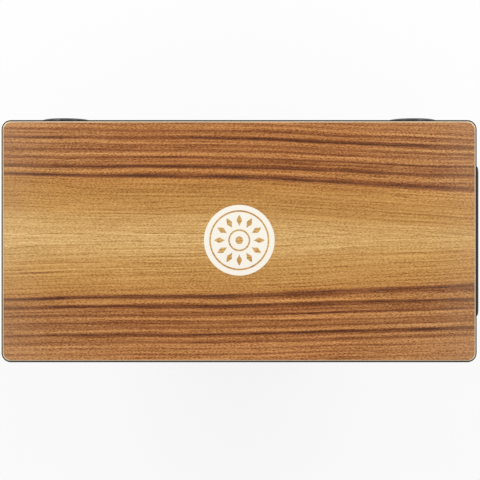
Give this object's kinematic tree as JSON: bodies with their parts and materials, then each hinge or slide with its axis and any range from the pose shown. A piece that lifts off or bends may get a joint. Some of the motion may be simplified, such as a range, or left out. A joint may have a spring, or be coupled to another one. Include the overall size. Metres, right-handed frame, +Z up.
{
  "type": "slaptop cajon",
  "caption": "T-shaped box drum held between the thighs and played on its wide veneered top, with flared sound ports, snare wires inside and a recessed handle in one end.",
  "frame": {"origin": "on the floor, under the middle of the box", "axes": "+Z up, +X towards the player's right, +Y away from the player, the way the sound ports face"},
  "size_m": [0.517, 0.2654, 0.318],
  "materials": {
    "face_veneer": "striped bookmatched walnut veneer under satin lacquer, with a cream printed disc",
    "plate_plywood": "pale plywood, lacquered on its chamfered edge",
    "black_lacquer": "board under black satin lacquer with a fine spray texture",
    "batten_wood": "bare planed softwood",
    "port_plastic": "glossy black moulded plastic",
    "handle_plastic": "black moulded plastic with a fine grain",
    "foot_rubber": "moulded black rubber",
    "black_screw": "black oxide steel",
    "snare_steel": "bright spring steel"
  },
  "bodies": {
    "root": {"plate_core": "plate_plywood", "face_veneer": "face_veneer", "port_panel": "black_lacquer", "player_panel": "black_lacquer", "left_end_panel": "black_lacquer", "right_end_panel": "black_lacquer", "left_wing_floor": "black_lacquer", "right_wing_floor": "black_lacquer", "left_stem_wall": "black_lacquer", "right_stem_wall": "black_lacquer", "stem_floor": "black_lacquer", "port_side_rim_batten": "batten_wood", "player_side_rim_batten": "batten_wood", "left_rim_batten": "batten_wood", "right_rim_batten": "batten_wood", "handle": "handle_plastic", "snare_beam": "batten_wood", "left_port_wing_block": "batten_wood", "left_port_stem_batten": "batten_wood", "left_port_foot": "foot_rubber", "left_port_foot_screw": "black_screw", "left_port_clamp_screw": "snare_steel", "left_player_wing_block": "batten_wood", "left_player_stem_batten": "batten_wood", "left_player_foot": "foot_rubber", "left_player_foot_screw": "black_screw", "left_player_clamp_screw": "snare_steel", "left_port_mouth": "port_plastic", "left_port_tube": "port_plastic", "left_snare_wires": "snare_steel", "right_port_wing_block": "batten_wood", "right_port_stem_batten": "batten_wood", "right_port_foot": "foot_rubber", "right_port_foot_screw": "black_screw", "right_port_clamp_screw": "snare_steel", "right_player_wing_block": "batten_wood", "right_player_stem_batten": "batten_wood", "right_player_foot": "foot_rubber", "right_player_foot_screw": "black_screw", "right_player_clamp_screw": "snare_steel", "right_port_mouth": "port_plastic", "right_port_tube": "port_plastic", "right_snare_wires": "snare_steel", "handle_screw_player_upper": "black_screw", "handle_screw_player_lower": "black_screw", "handle_screw_port_upper": "black_screw", "handle_screw_port_lower": "black_screw"}
  },
  "joints": []
}
